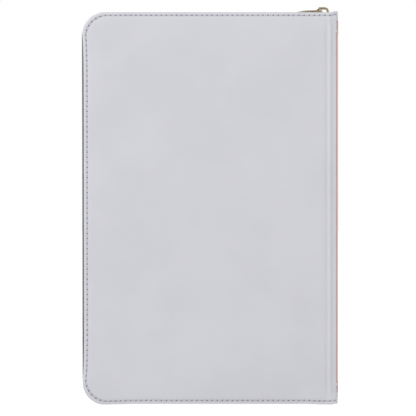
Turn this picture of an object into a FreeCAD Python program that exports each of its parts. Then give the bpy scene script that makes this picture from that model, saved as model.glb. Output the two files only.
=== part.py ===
import FreeCAD, Part
import math
import os

# Zip-around prayer book, standing on its tail. Millimetres.
# +Z runs from tail to head, +Y points out of the front cover, -Y out of the back cover,
# +X points out of the spine and -X out of the fore edge.
# The origin is the middle of the footprint, at the level of the tail.

V = FreeCAD.Vector

# ---- driving dimensions
HEIGHT = 190.0          # cover, tail to head
SPINE_X = 62.0          # face of the spine
FORE_X = -62.0          # fore edge of the covers, at their corners
FORE_PULL = 0.7         # how far the zip draws the fore edge in at mid-height
HALF = 15.0             # middle of the book to the face of a cover
COVER_T = 3.0           # cover, face to lining
CORNER_R = 10.7         # the cover's fore-edge corners

# ---- cover layers, from the outside in
SKIN_T = 0.8            # imitation leather
FOAM_T = 1.0            # soft padding under it
BOARD_T = 0.9           # stiff board
LINING_T = COVER_T - SKIN_T - FOAM_T - BOARD_T
EDGE_R = 1.2            # rounding of the cover's edge
LINING_INSET = 0.3
COVER_IN_X = 58.3       # the panel's end beside the hinge groove

# ---- edge stitching, let into the skin
THREAD_W = 0.5
THREAD_T = 0.25
STITCH_INSET = 1.5      # middle of the thread to the edge of the cover

# ---- spine
SPINE_HALF = 14.4       # middle of the book to the side of the spine
SPINE_R = 1.2           # rounding along the spine's sides
SPINE_IN_X = 60.2       # inner face of the spine board
SPINE_TOP = 190.3       # the cap stands a little above the covers
SPINE_BOARD_END = 1.0   # board kept back from the head and tail
MULL_X = 59.6           # inner face of the glued cloth on the pages' backs
MULL_END = 8.0
FOIL_T = 0.15
FOIL_W = 0.55
FOIL_X = 61.05          # near side of the foil line on the spine's rounded side
FOIL_LOW = 8.0
FOIL_HIGH = 182.0
HINGE_T = 0.6           # leather across the groove
HINGE_Y = 14.1          # its outer face
HINGE_END_X = 58.5

# ---- pages
PAGE_HALF = 11.7        # half of the page block
SECTIONS = 4            # sewn sections on each side of the middle
SECTION_T = PAGE_HALF / SECTIONS
PAGE_FORE_X = -57.5
PAGE_LOW = 5.0
PAGE_HIGH = 185.0
PAGE_CORNER_R = 8.0
FOLD_X = (52.0, 54.0, 56.0)  # where the moving sections bend, inner to outer
FOLD_GAP = 0.15
FLYLEAF_T = 0.25
FLYLEAF_BACK = 0.4      # how far it stops short of its section's bend
BAND_R = 0.8            # head and tail bands
BAND_X = 58.8
BAND_SINK = 0.4
BAND_END = 0.4

# ---- zip wall
ZIP_HEAD = 188.0        # middle of the tape's thickness at the head
ZIP_TAIL = 2.0
ZIP_FORE = -60.9
ZIP_CORNER = 9.3
TAPE_T = 0.6
COIL_T = 1.8
COIL_Y = (0.5, 2.2)     # each half of the coil, from the middle of the book
ZIP_HEAD_END = 58.5
ZIP_TAIL_END = 49.2
STOP_L = 0.6
TAB_HALF = 5.5
TAB_T = 2.6
TAB_R = 0.8

# ---- slider and pull tab
SLIDER_X = (49.9, 58.4)
SLIDER_HALF = 3.5
SLIDER_R = 1.3
PLATE_T = 0.6
CHANNEL = 2.2           # space between the plates
LIP_W = 0.7
TAPE_SLIT = 1.0
FIN_HALF = 0.35
FIN_X = (55.0, 58.0)
BRIDGE_X = (50.9, 57.9)
BRIDGE_TOP = 192.8
BRIDGE_HALF = 0.85
BRIDGE_T = 0.95
BRIDGE_R = 2.2
EYE_X = 54.05
EYE_Z = 190.7
EYE_R = 0.5
TAB_PLATE_T = 0.8
PULL_W = 4.6
PULL_L = 16.5
PULL_SLOT_W = 2.4
PULL_SLOT_END = 4.5
PULL_SLOPE = 4.4        # degrees below level, so that its end lies on the coil

MID_Z = HEIGHT / 2
OVER = 1.0              # how far a cutting tool runs past what it cuts


def box(x0, x1, y0, y1, z0, z1):
    """A box between two corners, with the limits of each axis in either order."""
    low = V(min(x0, x1), min(y0, y1), min(z0, z1))
    size = V(abs(x1 - x0), abs(y1 - y0), abs(z1 - z0))
    return Part.makeBox(size.x, size.y, size.z, low)


def line(a, b):
    """A straight edge in the XZ plane."""
    return Part.LineSegment(V(a[0], 0, a[1]), V(b[0], 0, b[1])).toShape()


def arc(a, middle, b):
    """An arc through three points of the XZ plane."""
    return Part.Arc(*(V(p[0], 0, p[1]) for p in (a, middle, b))).toShape()


def slab(edges, y0, y1):
    """A closed outline in the XZ plane, drawn out along Y from y0 to y1."""
    wire = Part.Wire(Part.sortEdges(edges)[0])
    face = Part.Face(wire)
    low = min(y0, y1)
    face.translate(V(0, low, 0))
    return face.extrude(V(0, abs(y1 - y0), 0))


def cover_outline(inset, end_x):
    """A cover's outline, drawn in by inset: round corners at the fore edge, which is a shallow
    hollow curve that meets both corner arcs smoothly, and a square end at end_x."""
    centre_x = FORE_X + CORNER_R
    reach = centre_x - (FORE_X + FORE_PULL)
    rise = MID_Z - CORNER_R
    hollow_r = (reach ** 2 + rise ** 2 - CORNER_R ** 2) / (2 * (CORNER_R - reach))
    lean = math.atan2(rise, reach + hollow_r)
    half = (math.pi / 2 - lean) / 2
    r = CORNER_R - inset
    edges = [line((end_x, inset), (end_x, HEIGHT - inset))]
    joins = []
    for side in (-1, 1):
        centre_z = MID_Z + side * rise
        level = centre_z + side * r
        join = (centre_x - r * math.cos(lean), centre_z - side * r * math.sin(lean))
        middle = (centre_x - r * math.cos(half - lean), centre_z + side * r * math.sin(half - lean))
        edges.append(line((end_x, level), (centre_x, level)))
        edges.append(arc((centre_x, level), middle, join))
        joins.append(join)
    edges.append(arc(joins[0], (FORE_X + FORE_PULL + inset, MID_Z), joins[1]))
    return edges


def cover_slab(inset, y0, y1, end_x=COVER_IN_X):
    """One flat layer of a cover."""
    return slab(cover_outline(inset, end_x), y0, y1)


def zip_strip(thickness, side, y0, y1):
    """A strip that follows the zip's wall round the book, from the head end to the tail end."""
    edges = []
    for grow in (-thickness / 2, thickness / 2):
        r = ZIP_CORNER + grow
        centre_x = ZIP_FORE + ZIP_CORNER
        diagonal = r * math.sqrt(0.5)
        for level, way, end_x in ((ZIP_HEAD, 1, ZIP_HEAD_END), (ZIP_TAIL, -1, ZIP_TAIL_END)):
            centre_z = level - way * ZIP_CORNER
            top = centre_z + way * r
            edges.append(line((end_x, top), (centre_x, top)))
            corner = (centre_x - diagonal, centre_z + way * diagonal)
            edges.append(arc((centre_x, top), corner, (centre_x - r, centre_z)))
        low, high = ZIP_TAIL + ZIP_CORNER, ZIP_HEAD - ZIP_CORNER
        edges.append(line((centre_x - r, low), (centre_x - r, high)))
    half = thickness / 2
    edges.append(line((ZIP_HEAD_END, ZIP_HEAD - half), (ZIP_HEAD_END, ZIP_HEAD + half)))
    edges.append(line((ZIP_TAIL_END, ZIP_TAIL - half), (ZIP_TAIL_END, ZIP_TAIL + half)))
    return slab(edges, side * y0, side * y1)


def page_slab(y0, y1, end_x):
    """A block of pages with rounded fore corners."""
    centre_x = PAGE_FORE_X + PAGE_CORNER_R
    diagonal = PAGE_CORNER_R * math.sqrt(0.5)
    edges = [line((end_x, PAGE_LOW), (end_x, PAGE_HIGH))]
    for level, way in ((PAGE_LOW, -1), (PAGE_HIGH, 1)):
        centre_z = level - way * PAGE_CORNER_R
        corner = (centre_x - diagonal, centre_z + way * diagonal)
        edges.append(line((end_x, level), (centre_x, level)))
        edges.append(arc((centre_x, level), corner, (PAGE_FORE_X, centre_z)))
    edges.append(line((PAGE_FORE_X, PAGE_LOW + PAGE_CORNER_R), (PAGE_FORE_X, PAGE_HIGH - PAGE_CORNER_R)))
    return slab(edges, y0, y1)


# ---- one cover: side is 1 for the front and -1 for the back


def cover_skin(side):
    """The leather over a cover: a shallow tray, rounded along its outer edge, with the stitching's
    channel in its face."""
    back = HALF - COVER_T + LINING_T
    whole = cover_slab(0, side * back, side * HALF)
    rim = [e for e in whole.Edges if all(abs(v.Y - side * HALF) < 1e-6 for v in e.Vertexes)]
    whole = whole.makeFillet(EDGE_R, rim)
    inside = cover_slab(SKIN_T, side * back, side * (HALF - SKIN_T), COVER_IN_X - SKIN_T)
    return whole.cut(inside).cut(cover_thread(side))


def cover_thread(side):
    """The line of stitching round a cover's three free edges."""
    low, high = side * (HALF - THREAD_T), side * HALF
    outer = cover_slab(STITCH_INSET - THREAD_W / 2, low, high)
    inner = cover_slab(STITCH_INSET + THREAD_W / 2, low, high, COVER_IN_X + OVER)
    ends = box(COVER_IN_X - SKIN_T, COVER_IN_X + OVER, -HALF, HALF, 0, HEIGHT)
    return outer.cut(inner).cut(ends)


def cover_foam(side):
    """The soft padding under the leather."""
    top = HALF - SKIN_T
    return cover_slab(SKIN_T, side * (top - FOAM_T), side * top, COVER_IN_X - SKIN_T)


def cover_board(side):
    """The stiff board under the padding."""
    top = HALF - SKIN_T - FOAM_T
    return cover_slab(SKIN_T, side * (top - BOARD_T), side * top, COVER_IN_X - SKIN_T)


def cover_lining(side):
    """The lining, glued over the board and the leather's turned edge."""
    low = HALF - COVER_T
    end_x = COVER_IN_X - LINING_INSET
    return cover_slab(LINING_INSET, side * low, side * (low + LINING_T), end_x)


def zip_stop(side):
    """The stop at the head end of one half of the coil."""
    half = COIL_T / 2
    y0, y1 = (side * y for y in COIL_Y)
    return box(ZIP_HEAD_END, ZIP_HEAD_END + STOP_L, y0, y1, ZIP_HEAD - half, ZIP_HEAD + half)


def cover_parts(name, side):
    """Every layer of one cover, with its half of the zip."""
    return {
        f"{name}_cover_skin": cover_skin(side),
        f"{name}_cover_stitching": cover_thread(side),
        f"{name}_cover_padding": cover_foam(side),
        f"{name}_cover_board": cover_board(side),
        f"{name}_cover_lining": cover_lining(side),
        f"{name}_zip_tape": zip_strip(TAPE_T, side, COIL_Y[1], HALF - COVER_T),
        f"{name}_zip_coil": zip_strip(COIL_T, side, *COIL_Y),
        f"{name}_zip_stop": zip_stop(side),
    }


# ---- spine


def spine_profile(inset):
    """The spine's outer shape as a solid, drawn in by inset on its three outer sides."""
    x1, y1 = SPINE_X - inset, SPINE_HALF - inset
    solid = box(SPINE_IN_X, x1, -y1, y1, 0, SPINE_TOP)
    sides = [e for e in solid.Edges if all(abs(v.X - x1) < 1e-6 for v in e.Vertexes)]
    upright = [e for e in sides if abs(e.Vertexes[0].Z - e.Vertexes[1].Z) > HEIGHT / 2]
    return solid.makeFillet(SPINE_R - inset, upright)


def spine_foil():
    """The foil line down both rounded sides of the spine, joined across its face near the head
    and the tail by two bars each."""
    shell = spine_profile(0).cut(spine_profile(FOIL_T))
    pieces = []
    for side in (-1, 1):
        x0, x1 = FOIL_X, FOIL_X + FOIL_W
        edge_y = SPINE_HALF - SPINE_R
        pieces.append(shell.common(box(x0, x1, side * edge_y, side * HALF, FOIL_LOW, FOIL_HIGH)))
    for level in (FOIL_LOW, FOIL_LOW + 3 * FOIL_W, FOIL_HIGH - 4 * FOIL_W, FOIL_HIGH - FOIL_W):
        bar = box(FOIL_X + FOIL_W, SPINE_X, -SPINE_HALF, SPINE_HALF, level, level + FOIL_W)
        pieces.append(shell.common(bar))
    return pieces[0].multiFuse(pieces[1:]).removeSplitter()


def spine_thread():
    """A row of stitching across the spine at the head and another at the tail."""
    half = SPINE_HALF - SPINE_R
    rows = []
    for level in (STITCH_INSET, HEIGHT - STITCH_INSET):
        z0, z1 = level - THREAD_W / 2, level + THREAD_W / 2
        rows.append(box(SPINE_X - THREAD_T, SPINE_X, -half, half, z0, z1))
    return Part.makeCompound(rows)


def spine_skin():
    """The leather round the spine, open towards the pages."""
    board_x = SPINE_X - SKIN_T
    inner_y = SPINE_HALF - SKIN_T
    hollow = box(SPINE_IN_X - OVER, board_x, -inner_y, inner_y, -OVER, SPINE_TOP + OVER)
    return spine_profile(0).cut(hollow).cut(spine_foil()).cut(spine_thread())


def spine_board():
    """The stiff strip inside the spine."""
    half = SPINE_HALF - SKIN_T
    return box(SPINE_IN_X, SPINE_X - SKIN_T, -half, half, SPINE_BOARD_END, HEIGHT - SPINE_BOARD_END)


def spine_cloth():
    """The cloth glued over the backs of the pages."""
    return box(MULL_X, SPINE_IN_X, -PAGE_HALF, PAGE_HALF, MULL_END, HEIGHT - MULL_END)


def hinge_strip(side):
    """The leather that crosses the groove between the spine and a cover."""
    return box(HINGE_END_X, SPINE_IN_X, side * (HINGE_Y - HINGE_T), side * HINGE_Y, 0, HEIGHT)


def page_band(level, way):
    """The woven band at the head or tail of the pages' backs: a round cord, flat where it sits."""
    y1 = PAGE_HALF - BAND_END
    centre = V(BAND_X, -y1, level + way * BAND_SINK)
    cord = Part.makeCylinder(BAND_R, 2 * y1, centre, V(0, 1, 0))
    seat = box(BAND_X - 2, BAND_X + 2, -y1 - OVER, y1 + OVER, level, level - way * 2)
    return cord.cut(seat)


def zip_tail_tab():
    """The folded cloth tab that joins the zip's closed end to the spine."""
    start_x = ZIP_TAIL_END + 3 * STOP_L
    tab = box(start_x, SPINE_IN_X, -TAB_HALF, TAB_HALF, 0, TAB_T)
    along = [e for e in tab.Edges if abs(e.Vertexes[0].X - e.Vertexes[1].X) > 1]
    return tab.makeFillet(TAB_R, along)


def zip_bottom_stop():
    """The staple that joins the two halves of the coil at the tail."""
    x0 = ZIP_TAIL_END + STOP_L / 2
    half = COIL_T / 2
    return box(x0, x0 + 2 * STOP_L, -COIL_Y[1], COIL_Y[1], ZIP_TAIL - half, ZIP_TAIL + half)


# ---- pages


def gutter(side):
    """The sewn backs of the sections that bend, which stay with the spine."""
    blocks = []
    for i, fold_x in enumerate(FOLD_X, start=1):
        y0, y1 = side * i * SECTION_T, side * (i + 1) * SECTION_T
        blocks.append(box(fold_x + FOLD_GAP, MULL_X, y0, y1, PAGE_LOW, PAGE_HIGH))
    return Part.makeCompound(blocks)


def section_parts(name, side):
    """The sections on one side of the middle, each its own solid, and the flyleaf."""
    parts = {f"{name}_middle_section": page_slab(0, side * SECTION_T, MULL_X)}
    for i, fold_x in enumerate(FOLD_X, start=1):
        y0, y1 = side * i * SECTION_T, side * (i + 1) * SECTION_T
        parts[f"{name}_section_{i}"] = page_slab(y0, y1, fold_x)
    y0, y1 = side * PAGE_HALF, side * (PAGE_HALF + FLYLEAF_T)
    parts[f"{name}_flyleaf"] = page_slab(y0, y1, FOLD_X[-1] - FLYLEAF_BACK)
    parts[f"{name}_gutter"] = gutter(side)
    return parts


# ---- slider


def slider_plate(z0):
    """One of the slider's two plates, with rounded corners."""
    plate = box(*SLIDER_X, -SLIDER_HALF, SLIDER_HALF, z0, z0 + PLATE_T)
    corners = [e for e in plate.Edges if abs(e.Vertexes[0].Z - e.Vertexes[1].Z) > PLATE_T / 2]
    return plate.makeFillet(SLIDER_R, corners)


def slider_body():
    """Two plates joined by a fin between the coils, with lips beside the back cover's tape."""
    low, high = ZIP_HEAD - CHANNEL / 2, ZIP_HEAD + CHANNEL / 2
    slit_low, slit_high = ZIP_HEAD - TAPE_SLIT / 2, ZIP_HEAD + TAPE_SLIT / 2
    lip_x = (SLIDER_X[0] + SLIDER_R, SLIDER_X[1] - SLIDER_R)
    lip_y = (-SLIDER_HALF, -SLIDER_HALF + LIP_W)
    return slider_plate(low - PLATE_T).multiFuse([
        slider_plate(high),
        box(*FIN_X, -FIN_HALF, FIN_HALF, low, high),
        box(*lip_x, *lip_y, low, slit_low),
        box(*lip_x, *lip_y, slit_high, high),
    ]).removeSplitter()


def slider_bridge():
    """The arch on the slider that holds the pull tab."""
    foot = ZIP_HEAD + CHANNEL / 2 + PLATE_T
    bodies = []
    for inset in (0, BRIDGE_T):
        x0, x1 = BRIDGE_X[0] + inset, BRIDGE_X[1] - inset
        block = box(x0, x1, -BRIDGE_HALF, BRIDGE_HALF, foot, BRIDGE_TOP - inset)
        crown = [e for e in block.Edges
                 if all(abs(v.Z - BRIDGE_TOP + inset) < 1e-6 for v in e.Vertexes)
                 and abs(e.Vertexes[0].Y - e.Vertexes[1].Y) > BRIDGE_HALF]
        bodies.append(block.makeFillet(BRIDGE_R - inset, crown))
    return bodies[0].cut(bodies[1])


def pull_tab():
    """The pull tab: a plate with a round bar across its eye, which passes under the arch."""
    half = PULL_W / 2
    low, high = EYE_Z - TAB_PLATE_T / 2, EYE_Z + TAB_PLATE_T / 2
    plate = box(EYE_X - PULL_L, EYE_X, -half, half, low, high)
    ends = [e for e in plate.Edges
            if all(abs(v.X - EYE_X + PULL_L) < 1e-6 for v in e.Vertexes)
            and abs(e.Vertexes[0].Z - e.Vertexes[1].Z) > TAB_PLATE_T / 2]
    plate = plate.makeFillet(half - 0.1, ends)
    slot = box(EYE_X - PULL_SLOT_END, EYE_X + OVER, -PULL_SLOT_W / 2, PULL_SLOT_W / 2, low - OVER, high + OVER)
    bar = Part.makeCylinder(EYE_R, PULL_W, V(EYE_X, -half, EYE_Z), V(0, 1, 0))
    tab = plate.cut(slot).fuse(bar).removeSplitter()
    tab.rotate(V(EYE_X, 0, EYE_Z), V(0, 1, 0), -PULL_SLOPE)
    return tab


def build():
    """Every piece of the book, by name."""
    parts = {
        "spine_skin": spine_skin(),
        "spine_foil": spine_foil(),
        "spine_stitching": spine_thread(),
        "spine_board": spine_board(),
        "spine_cloth": spine_cloth(),
        "head_band": page_band(PAGE_HIGH, 1),
        "tail_band": page_band(PAGE_LOW, -1),
        "zip_tail_tab": zip_tail_tab(),
        "zip_bottom_stop": zip_bottom_stop(),
        "slider_body": slider_body(),
        "slider_bridge": slider_bridge(),
        "pull_tab": pull_tab(),
    }
    for name, side in (("front", 1), ("back", -1)):
        parts[f"{name}_hinge_strip"] = hinge_strip(side)
        parts.update(cover_parts(name, side))
        parts.update(section_parts(name, side))
    return parts


os.makedirs("parts", exist_ok=True)
for node, shape in build().items():
    shape.exportStep(f"parts/{node}.step")
    solids = len(shape.Solids)
    print(f"{node}: {solids} solid(s), {shape.Volume:.2f} mm3, valid {shape.isValid()}")
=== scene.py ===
"""A zip-around prayer book in padded pearl leatherette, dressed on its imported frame.

Lengths in the classes are millimetres, as a bookbinder would give them; meshes are metres.
x runs towards the spine, z towards the head, and depth is the distance from the middle of the
book towards a cover, so that y is depth for the front cover and minus depth for the back one.
"""

import logging
import math
from collections.abc import Callable
from dataclasses import dataclass, field
from enum import Enum

import bmesh
import bpy
import numpy as np
from mathutils import Matrix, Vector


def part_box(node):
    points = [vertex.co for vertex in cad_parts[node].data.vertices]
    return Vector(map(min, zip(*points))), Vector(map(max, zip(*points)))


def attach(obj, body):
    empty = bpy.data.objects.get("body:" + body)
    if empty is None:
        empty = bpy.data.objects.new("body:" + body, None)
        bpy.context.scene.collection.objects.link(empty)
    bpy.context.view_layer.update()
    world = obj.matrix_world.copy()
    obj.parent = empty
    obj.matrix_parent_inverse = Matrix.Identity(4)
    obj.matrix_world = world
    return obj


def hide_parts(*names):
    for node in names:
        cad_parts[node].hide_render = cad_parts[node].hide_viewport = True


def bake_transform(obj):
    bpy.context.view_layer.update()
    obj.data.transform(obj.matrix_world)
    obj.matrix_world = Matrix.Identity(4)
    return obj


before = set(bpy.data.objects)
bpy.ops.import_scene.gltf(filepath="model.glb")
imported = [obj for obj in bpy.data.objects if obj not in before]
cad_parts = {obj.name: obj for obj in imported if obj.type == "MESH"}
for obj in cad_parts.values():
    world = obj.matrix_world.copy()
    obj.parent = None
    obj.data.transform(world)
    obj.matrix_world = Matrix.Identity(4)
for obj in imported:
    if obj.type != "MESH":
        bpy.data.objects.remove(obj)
LOG = logging.getLogger("prayer_book")
MM = 0.001
Array = np.ndarray
Colour = tuple[float, float, float]


class Side(Enum):
    """The two halves of the book; the value is the sign of y."""

    FRONT = 1
    BACK = -1

    @property
    def word(self) -> str:
        """The half's name, as its nodes and bodies use it."""
        return self.name.lower()

    def upright(self, flat: Array, depth: Array) -> Array:
        """Points from pairs of x and z, and their depth on this side of the middle of the book."""
        return np.stack([flat[:, 0], self.value * depth, flat[:, 1]], axis=-1)


# ------------------------------------------------------------------ numbers and grids


def lying(flat: Array, level: Array) -> Array:
    """Points from pairs of x and y, and their heights."""
    return np.stack([flat[:, 0], flat[:, 1], level], axis=-1)


def smooth(value: Array, low: float, high: float) -> Array:
    """Rise smoothly from 0 at low to 1 at high: 3t^2 - 2t^3 of the clipped share t.

    Args:
        value: where to measure.
        low: the value that gives 0.
        high: the value that gives 1.

    Returns:
        The smoothed share at each value.
    """
    t = np.clip((value - low) / (high - low), 0.0, 1.0)
    return t * t * (3.0 - 2.0 * t)


def bell(value: Array, middle: float, width: float) -> Array:
    """A bell curve, exp of minus the square of (value - middle) / width.

    Args:
        value: where to measure.
        middle: the place of the top, where the curve is 1.
        width: the distance at which it has fallen to 1/e.

    Returns:
        The height at each value.
    """
    return np.exp(-(((value - middle) / width) ** 2))


def node_box(node: str) -> tuple[Array, Array]:
    """Read a frame node's lowest and highest corners.

    Args:
        node: the node's name.

    Returns:
        The two corners, in millimetres.
    """
    low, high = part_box(node)
    return np.array(low) / MM, np.array(high) / MM


def give_finish(node: str, finish: bpy.types.Material) -> None:
    """Give a frame node that stays visible a finish in place of its own.

    Args:
        node: the node's name.
        finish: the material.
    """
    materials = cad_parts[node].data.materials
    materials.clear()
    materials.append(finish)


def grid_quads(rows: int, columns: int, wrap_rows: bool = False, wrap_columns: bool = False) -> Array:
    """Join neighbours of a grid of points, counted row by row, into quads.

    Args:
        rows: the number of rows.
        columns: the number of columns.
        wrap_rows: whether the last row joins the first.
        wrap_columns: whether the last column joins the first.

    Returns:
        One line of four point numbers for each quad.
    """
    i, j = np.meshgrid(
        np.arange(rows if wrap_rows else rows - 1),
        np.arange(columns if wrap_columns else columns - 1),
        indexing="ij",
    )
    below, beside = (i + 1) % rows, (j + 1) % columns
    corners = (i * columns + j, below * columns + j, below * columns + beside, i * columns + beside)
    return np.stack(corners, axis=-1).reshape(-1, 4)


def build_mesh(name: str, points: Array, quads: Array, uv: Array | None = None,
               close: bool = True, cap: bool = False) -> bpy.types.Object:
    """Make a mesh object from arrays.

    Args:
        name: the piece's name.
        points: places in millimetres, any shape ending in 3.
        quads: point numbers of each quad.
        uv: a pair for each point, or None.
        close: whether points in the same place are merged and normals turned outwards.
        cap: whether open ends are filled.

    Returns:
        The object, linked to the scene.
    """
    mesh = bpy.data.meshes.new(name)
    mesh.from_pydata((points.reshape(-1, 3) * MM).tolist(), [], quads.tolist())
    if uv is not None:
        corner = np.zeros(len(mesh.loops), dtype=np.int32)
        mesh.loops.foreach_get("vertex_index", corner)
        layer = mesh.uv_layers.new(name="edge")
        layer.data.foreach_set("uv", uv.reshape(-1, 2)[corner].astype(np.float32).ravel())
    if close:
        work = bmesh.new()
        work.from_mesh(mesh)
        bmesh.ops.remove_doubles(work, verts=work.verts, dist=2e-6)
        bmesh.ops.dissolve_degenerate(work, edges=work.edges, dist=1e-7)
        if cap:
            filled = bmesh.ops.holes_fill(work, edges=[e for e in work.edges if e.is_boundary], sides=0)
            for rim in (edge for face in filled["faces"] for edge in face.edges):
                rim.smooth = False
        bmesh.ops.recalc_face_normals(work, faces=work.faces)
        work.to_mesh(mesh)
        work.free()
    mesh.polygons.foreach_set("use_smooth", np.ones(len(mesh.polygons), dtype=bool))
    mesh.update()
    made = bpy.data.objects.new(name, mesh)
    bpy.context.collection.objects.link(made)
    return made


def repeat_shape(template: Array, quads: Array, centres: Array, axes: Array) -> tuple[Array, Array]:
    """Set copies of a small shape at many places.

    Args:
        template: the shape's points, (points, 3), along its own three axes.
        quads: the shape's quads.
        centres: the copies' places, (copies, 3).
        axes: the copies' three axes as rows, (copies, 3, 3).

    Returns:
        All points and all quads.
    """
    points = centres[:, None, :] + np.einsum("pk,ckx->cpx", template, axes)
    shift = np.arange(len(centres))[:, None, None] * len(template)
    return points.reshape(-1, 3), (quads[None] + shift).reshape(-1, 4)


def capsule(length: float, radius: float, rings: int, around: int,
            power: float = 2.0) -> tuple[Array, Array]:
    """A closed sausage along its first axis: at share t from -1 to 1 its radius is (1 - |t|^p)^(1/p).

    Args:
        length: the whole length.
        radius: the radius at the middle.
        rings: the number of rings.
        around: the number of points in a ring.
        power: the p of the outline; more is squarer.

    Returns:
        The shape's points and quads.
    """
    t = -np.cos(np.linspace(0.0, math.pi, rings))
    turn = np.arange(around) * (2 * math.pi / around)
    swell = radius * (1.0 - np.abs(t) ** power) ** (1.0 / power)
    x = np.broadcast_to(t[:, None] * length / 2, (rings, around))
    points = np.stack([x, swell[:, None] * np.cos(turn), swell[:, None] * np.sin(turn)], axis=-1)
    return points.reshape(-1, 3), grid_quads(rings, around, wrap_columns=True)


@dataclass(frozen=True)
class Ring:
    """A closed outline in a plane, and the core that it shrinks onto as it is drawn in."""

    edge: Array
    core: Array
    reach: float

    def inset(self, distance: Array) -> Array:
        """Move the outline towards its core by a distance, which may differ along it."""
        share = np.clip(np.asarray(distance) / self.reach, 0.0, 1.0)[..., None]
        return self.edge + share * (self.core - self.edge)


def rounded_ring(low: tuple[float, float], high: tuple[float, float],
                 radii: tuple[float, float, float, float], step: float) -> Ring:
    """A rectangle with rounded corners, run round once, anticlockwise from the low corner.

    Args:
        low: the low corner.
        high: the high corner.
        radii: the radius at low-low, high-low, high-high and low-high.
        step: the spacing of points along the straight sides.

    Returns:
        The outline, with its core at the middle line of the rectangle.
    """
    corners = (
        (low[0], low[1], 1, 1),
        (high[0], low[1], -1, 1),
        (high[0], high[1], -1, -1),
        (low[0], high[1], 1, -1),
    )
    arcs = []
    for turn, ((x, z, ways, rise), radius) in enumerate(zip(corners, radii)):
        angle = math.pi * (1.0 + turn / 2.0) + np.linspace(0.0, math.pi / 2, 10)
        centre = np.array([x + ways * radius, z + rise * radius])
        arcs.append(centre + radius * np.stack([np.cos(angle), np.sin(angle)], axis=-1))
    parts = []
    for here, there in zip(arcs, arcs[1:] + arcs[:1]):
        count = max(2, int(np.linalg.norm(there[0] - here[-1]) / step))
        share = np.linspace(0.0, 1.0, count + 1)[1:-1, None]
        parts += [here, here[-1] + share * (there[0] - here[-1])]
    edge = np.concatenate(parts)
    size = np.array(high) - np.array(low)
    reach = size.min() / 2
    core = np.clip(edge, np.array(low) + reach, np.array(high) - reach)
    return Ring(edge, core, reach)


def pad(name: str, ring: Ring, profile: list[tuple[float, float]],
        place: Callable[[Array, Array], Array], finish: bpy.types.Material) -> bpy.types.Object:
    """A closed flat form: the outline, drawn in and lifted by each step of a profile in turn.

    Args:
        name: the piece's name.
        ring: the outline.
        profile: how far in and how high each step is; the first and last reach the core.
        place: gives points from pairs in the outline's plane and a level.
        finish: the material.

    Returns:
        The piece, whose map holds the distance along the outline and the distance in.
    """
    steps = np.diff(ring.edge, axis=0, prepend=ring.edge[:1])
    along = np.cumsum(np.linalg.norm(steps, axis=1))
    rows, pairs = [], []
    for inset, level in profile:
        at = np.full(len(ring.edge), min(inset, ring.reach))
        rows.append(place(ring.inset(at), np.full(len(at), level)))
        pairs.append(np.stack([along, at], axis=-1))
    points = np.stack(rows)
    quads = grid_quads(*points.shape[:2], wrap_columns=True)
    made = build_mesh(name, points, quads, np.stack(pairs) * MM)
    made.data.materials.append(finish)
    return made


def soft_edge(reach: float, low: float, high: float, radius: float,
              steps: int = 4) -> list[tuple[float, float]]:
    """The profile of a slab with rounded edges: in from the edge, and up from low to high.

    Args:
        reach: the distance from the edge to the core.
        low: the lower level.
        high: the upper level.
        radius: the edges' radius.
        steps: the points in each quarter turn.

    Returns:
        Pairs of inset and level, from the core on the lower face to the core on the upper one.
    """
    turns = np.linspace(0.0, math.pi / 2, steps)
    under = [(radius * (1 - math.sin(t)), low + radius * (1 - math.cos(t))) for t in turns]
    over = [(inset, low + high - level) for inset, level in reversed(under)]
    return [(reach, low), *under, *over, (reach, high)]


def tube(name: str, path: Array, sides: Array, section: Array,
         finish: bpy.types.Material) -> bpy.types.Object:
    """Carry a closed section along a path, with a cap at each end.

    Args:
        name: the piece's name.
        path: the middle line's points.
        sides: the section's two axes at each point, (points, 2, 3).
        section: the section's own points, (corners, 2).
        finish: the material.

    Returns:
        The piece, whose map holds the distance along the path and round the section.
    """
    points = path[:, None, :] + np.einsum("sk,pkx->psx", section, sides)
    along = np.cumsum(np.linalg.norm(np.diff(path, axis=0, prepend=path[:1]), axis=1))
    around = np.cumsum(np.linalg.norm(np.diff(section, axis=0, prepend=section[:1]), axis=1))
    pairs = np.stack(np.meshgrid(along, around, indexing="ij"), axis=-1)
    quads = grid_quads(len(path), len(section), wrap_columns=True)
    made = build_mesh(name, points, quads, pairs * MM, cap=True)
    made.data.materials.append(finish)
    return made


def round_section(half_wide: float, half_high: float, power: float = 2.0, count: int = 16) -> Array:
    """A rounded section, |a/wide|^p + |b/high|^p = 1: round at power 2, squarer above it.

    Args:
        half_wide: half of the width.
        half_high: half of the height.
        power: the p of the outline.
        count: the number of points.

    Returns:
        The section's points, in order round it.
    """
    turn = np.arange(count) * (2 * math.pi / count)
    cos, sin = np.cos(turn), np.sin(turn)
    a = half_wide * np.sign(cos) * np.abs(cos) ** (2.0 / power)
    b = half_high * np.sign(sin) * np.abs(sin) ** (2.0 / power)
    return np.stack([a, b], axis=-1)


# ------------------------------------------------------------------ shader expressions


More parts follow.
